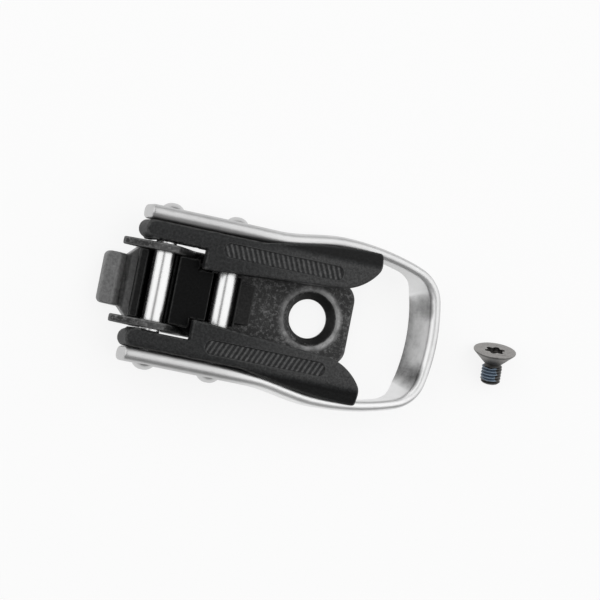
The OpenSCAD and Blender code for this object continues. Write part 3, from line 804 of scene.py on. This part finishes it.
def loop_tone(rings):
    """Darker arms, painted shade on the left arm and the outer rim; inside the bow a clouded skin, partly
    painted reflection, lighter along the top of its middle.
    """
    place = np.arange(len(rings[0]))
    inner, outer, above = rise(place, 19, 24), rise(18 - place, 0, 5), place < 28
    tone = []
    for x, y, z in (ring[0] for ring in rings):
        ends = rise(abs(y), 4, 9)
        # Inside the bow: a dark clouded skin, partly the loop's own finish and partly painted reflection.
        skin = rise(x, 66, 68) * rise(12.9 - abs(y), 0, 1) * (0.85 + 0.1 * ends)
        # Painted shade on the left arm.
        left_arm = 0.5 if y > 0 else 0
        dull_and_shaded = 0.8 * rise(32 - x, 0, 14) + left_arm * rise(x, 18, 32) * rise(70 - x, 0, 10)
        # Painted shade on the outer rim of the bow.
        dull_and_shaded = dull_and_shaded + 0.9 * outer * rise(x, 62, 70)
        tone.append(dull_and_shaded - inner * skin * (1 - 0.95 * above * (1 - ends)))
    return np.concatenate(tone)


# Pieces

def loop_end():
    """Turn at the knee, centre of the corner, radius of the bow and its furthest x."""
    turn = -math.atan(arm_slope(KNEE_X))
    cx = KNEE_X - CORNER_R * math.sin(turn)
    cy = arm_line(KNEE_X) - CORNER_R * math.cos(turn)
    bow = (cy + CORNER_R * math.cos(CORNER_END)) / math.cos(CORNER_END)
    far = cx + CORNER_R * math.sin(CORNER_END) + bow * (1 - math.sin(CORNER_END))
    return turn, cx, cy, bow, far


def loop_stations():
    """Stations of one half of the lever loop: x, y, heading and how far the section is drawn in."""
    turn, cx, cy, bow, far = loop_end()
    half = [(-ARM_BACK + BACK_ROUND * (1 - math.sin(a)), ARM_OUT, 0.0, BACK_ROUND * (1 - math.cos(a)))
            for a in (math.pi / 2 * (1 - i / BACK_STEPS) for i in range(BACK_STEPS + 1))]
    half += [(x, arm_line(x), -math.atan(arm_slope(x)), 0.0) for x in np.linspace(ARM_START, KNEE_X, 80)]
    half += [(cx + CORNER_R * math.sin(a), cy + CORNER_R * math.cos(a), a, 0.0)
             for a in np.linspace(turn, CORNER_END, 33)[1:]]
    half += [(far - bow * (1 - math.sin(a)), bow * math.cos(a), a, 0.0)
             for a in np.linspace(CORNER_END, math.pi / 2, 13)[1:]]
    return half


def loop_ring(station, side):
    """Section of the loop at a station, from its outer foot over the round top to its inner foot."""
    x, y, heading, inset = station
    t, low, high = wall_at(x), bottom_at(x) + inset, top_at(x)
    r = t / 2 - inset
    edge = min(1.6 - 1.1 * rise(x, -2, 14), r - 0.1)
    outline = arc(inset + edge, low + edge, edge, 270, 180, 4)
    outline += arc(t / 2, high - t / 2, r, 180, 0, 22)
    outline += arc(t - inset - edge, low + edge, edge, 0, -90, 4)
    ring = []
    for across, up in outline:
        a = across + (high - up) * math.tan(lean_at(x))
        ring.append((x - a * math.sin(heading), side * (y - a * math.cos(heading)), up))
    return ring


def lever_loop():
    half = loop_stations()
    rings = [loop_ring(s, 1) for s in half] + [loop_ring(s, -1) for s in reversed(half[:-1])]
    return loft(rings, loop_tone(rings))


def rivet(x, z):
    """Rivet with a domed, lightly dimpled head on each arm."""
    dome = (HEAD_R ** 2 + HEAD_H ** 2) / (2 * HEAD_H)
    head = []
    for i in range(HEAD_STEPS + 1):
        r = HEAD_R * math.sin(math.pi / 2 * i / HEAD_STEPS)
        dip = DIMPLE_DEEP * (1 - ease(r / DIMPLE_R))
        head.append((r, ARM_OUT + HEAD_H - dome + math.sqrt(dome * dome - r * r) - dip))
    one = head + [(HEAD_R - 0.05, ARM_OUT + 0.02), (SHANK_R, ARM_OUT)]
    return turned([(r, -y) for r, y in one] + [(r, y) for r, y in reversed(one)], x, z, 56)


def sleeve(x, z, half):
    """Tube with rounded edges, its bore open to the rivet."""
    edge = SLEEVE_EDGE
    outline = [(BORE_R, -half + BORE_LEAD), (BORE_LEAD_R, -half)]
    outline += [(SLEEVE_R - edge + edge * math.sin(a), -half + edge * (1 - math.cos(a)))
                for a in (math.pi / 8 * i for i in range(5))]
    return turned(outline + [(r, -y) for r, y in reversed(outline)], x, z, 72)


def mirrored(shape):
    points, faces, normals, bend, tone = shape
    flip = np.array((1, -1, 1))
    return points * flip, faces[:, ::-1], normals * flip, bend, tone


def lying(shape):
    """Sets a shape of the screw's own axis, head face at 0, where the screw lies beside the buckle."""
    tilt = math.asin((SCREW_RIM - THREAD_R) / (SCREW_LEN - RIM_T))
    far = loop_end()[-1]
    height = SCREW_RIM * math.cos(tilt) + RIM_T * math.sin(tilt)
    place = Matrix.Translation((far + SCREW_AWAY + SCREW_RIM, 0, height))
    place = place @ Matrix.Rotation(SCREW_TURN, 4, "Z") @ Matrix.Translation((0, SCREW_ALONG, 0))
    place = np.array(place @ Matrix.Rotation(tilt - math.pi / 2, 4, "X"))
    points, faces, normals, bend, tone = shape
    return points @ place[:3, :3].T + place[:3, 3], faces, normals @ place[:3, :3].T, bend, tone


bracket = cast(bracket_field, low=(TONGUE_X, -PLATE_HALF, 0),
               high=(PLATE_END, PLATE_HALF, PIVOT_Z + EAR_R), cell=(0.3, 0.27, 0.27), tone=bracket_tone)
grip = cast(grip_field, low=(-6.6, 6, GRIP_LOW), high=(TIP_X, RIDGE_Y + WING_W + 0.2, GRIP_TOP),
            cell=(0.3, 0.24, 0.24), tone=grip_tone)
block = cast(block_field, low=(-BLOCK_R, -BLOCK_HALF, GRIP_LOW),
             high=(STRAP_X + TAIL_LONG, BLOCK_HALF, BLOCK_TOP), cell=(0.26, 0.26, 0.24), tone=block_tone)
screw = cast(screw_field, low=(-SCREW_RIM, -SCREW_RIM, -SCREW_LEN), high=(SCREW_RIM, SCREW_RIM, 0),
             cell=(0.13, 0.13, 0.11), tone=screw_tone)
patch = cast(patch_field, low=(-PATCH_REACH, -PATCH_REACH, PATCH_END),
             high=(PATCH_REACH, PATCH_REACH, -THREAD_START), cell=(0.08, 0.08, 0.07))

add_piece("bracket_forged", bracket, "base_bracket", "base", "coated_steel")
add_piece("lever_loop", lever_loop(), "lever_frame", "lever", "satin_aluminium")
add_piece("grip_left_moulded", grip, "grip_left", "lever", "grip_plastic")
add_piece("grip_right_moulded", mirrored(grip), "grip_right", "lever", "grip_plastic")
add_piece("pin_carrier", block, "pin_block", "lever", "block_plastic")
add_piece("pivot_rivet_turned", rivet(0, PIVOT_Z), "pivot_rivet", "lever", "rivet_metal")
add_piece("strap_rivet_turned", rivet(STRAP_X, STRAP_Z), "strap_rivet", "lever", "rivet_metal")
add_piece("pivot_tube", sleeve(0, PIVOT_Z, WALL_IN), "pivot_sleeve", "pivot_sleeve", "polished_steel")
add_piece("strap_tube", sleeve(STRAP_X, STRAP_Z, STRAP_SLEEVE_HALF), "strap_sleeve", "strap_sleeve",
          "polished_steel")
add_piece("screw_turned", lying(screw), "mounting_screw", "screw", "screw_steel")
add_piece("screw_patch", lying(patch), "thread_patch", "screw", "patch_nylon")


# Studio: the floor and the panels are in metres, the camera's place in millimetres

FLOOR_HALF, FLOOR_Z = 3, -0.0003
CAMERA_TILT, CAMERA_NOD, CAMERA_ROLL = math.radians(16.11), math.radians(2.3), math.radians(11.21)
CAMERA_AWAY, CAMERA_RIGHT, CAMERA_UP = 900, 3.06, 3.38
CAMERA_AIM = (34 - HOLE_X, 0, 6)


def studio_floor():
    """White paper that keeps the object's shadow and stays pale to the eye and in reflections."""
    corners = [(x * FLOOR_HALF, y * FLOOR_HALF, FLOOR_Z) for x, y in ((-1, -1), (1, -1), (1, 1), (-1, 1))]
    mesh = bpy.data.meshes.new("floor")
    mesh.from_pydata(corners, [], [(0, 1, 2, 3)])
    finish = bpy.data.materials.new("white_floor")
    finish.use_nodes = True
    tree = finish.node_tree
    tree.nodes.clear()
    path = wire(tree, "ShaderNodeLightPath").outputs
    seen = larger(tree, path["Is Camera Ray"], path["Is Glossy Ray"])
    seen = larger(tree, seen, path["Is Transmission Ray"])
    paper = wire(tree, "ShaderNodeBsdfDiffuse", Color=grey(0.93)).outputs[0]
    white = wire(tree, "ShaderNodeEmission", Color=grey(1), Strength=1.0).outputs[0]
    mix = wire(tree, "ShaderNodeMixShader", i0=times(tree, seen, 0.85), i1=paper, i2=white)
    wire(tree, "ShaderNodeOutputMaterial", Surface=mix.outputs[0])
    mesh.materials.append(finish)
    floor = bpy.data.objects.new("floor", mesh)
    bpy.context.scene.collection.objects.link(floor)


def aside(degrees):
    """Direction leaning from straight up to the right, and a little to the buckle's left arm."""
    return math.sin(math.radians(degrees)), 0.25, math.cos(math.radians(degrees))


def softbox(name, towards, away, wide, deep, radiance):
    """Large soft panel facing the object; its width lies square to Y."""
    lamp = bpy.data.lights.new(name, "AREA")
    lamp.shape = "RECTANGLE"
    lamp.size, lamp.size_y = wide, deep
    lamp.energy = radiance * math.pi * wide * deep
    panel = bpy.data.objects.new(name, lamp)
    out = Vector(towards).normalized()
    side = Vector((0, 1, 0)).cross(out).normalized()
    turn = Matrix((side, out.cross(side), out)).transposed().to_4x4()
    panel.matrix_world = Matrix.Translation(out * away) @ turn
    panel.visible_camera = False
    bpy.context.scene.collection.objects.link(panel)


def camera():
    """Long lens, looking down from the tongue's side; distances in mm until the last step."""
    sin_tilt, cos_tilt = math.sin(CAMERA_TILT), math.cos(CAMERA_TILT)
    right = Vector((cos_tilt, 0, sin_tilt))
    back = Vector((-sin_tilt * math.cos(CAMERA_NOD), -math.sin(CAMERA_NOD), cos_tilt * math.cos(CAMERA_NOD)))
    up = back.cross(right)
    across = math.cos(CAMERA_ROLL) * right + math.sin(CAMERA_ROLL) * up
    along = math.cos(CAMERA_ROLL) * up - math.sin(CAMERA_ROLL) * right
    eye = Vector(CAMERA_AIM) + CAMERA_AWAY * back + CAMERA_RIGHT * across + CAMERA_UP * along
    data = bpy.data.cameras.new("camera")
    data.sensor_width, data.lens = 36, 222
    data.clip_start, data.clip_end = 0.01, 20
    view = bpy.data.objects.new("camera", data)
    turn = Matrix((across, along, back)).transposed().to_4x4()
    view.matrix_world = Matrix.Translation(eye * MM) @ turn
    bpy.context.scene.collection.objects.link(view)
    bpy.context.scene.camera = view


studio_floor()
softbox("panel_right", aside(40), away=0.95, wide=1.9, deep=1.4, radiance=1.0)
softbox("panel_left", aside(-56), away=0.95, wide=1.05, deep=1.4, radiance=1.0)
softbox("panel_far", (0, 0.86, 0.5), away=1.3, wide=1.8, deep=0.8, radiance=0.35)
world = bpy.data.worlds.new("studio")
world.use_nodes = True
world.node_tree.nodes["Background"].inputs["Color"].default_value = grey(0.28)
bpy.context.scene.world = world
bpy.context.scene.view_settings.view_transform = "Standard"
camera()
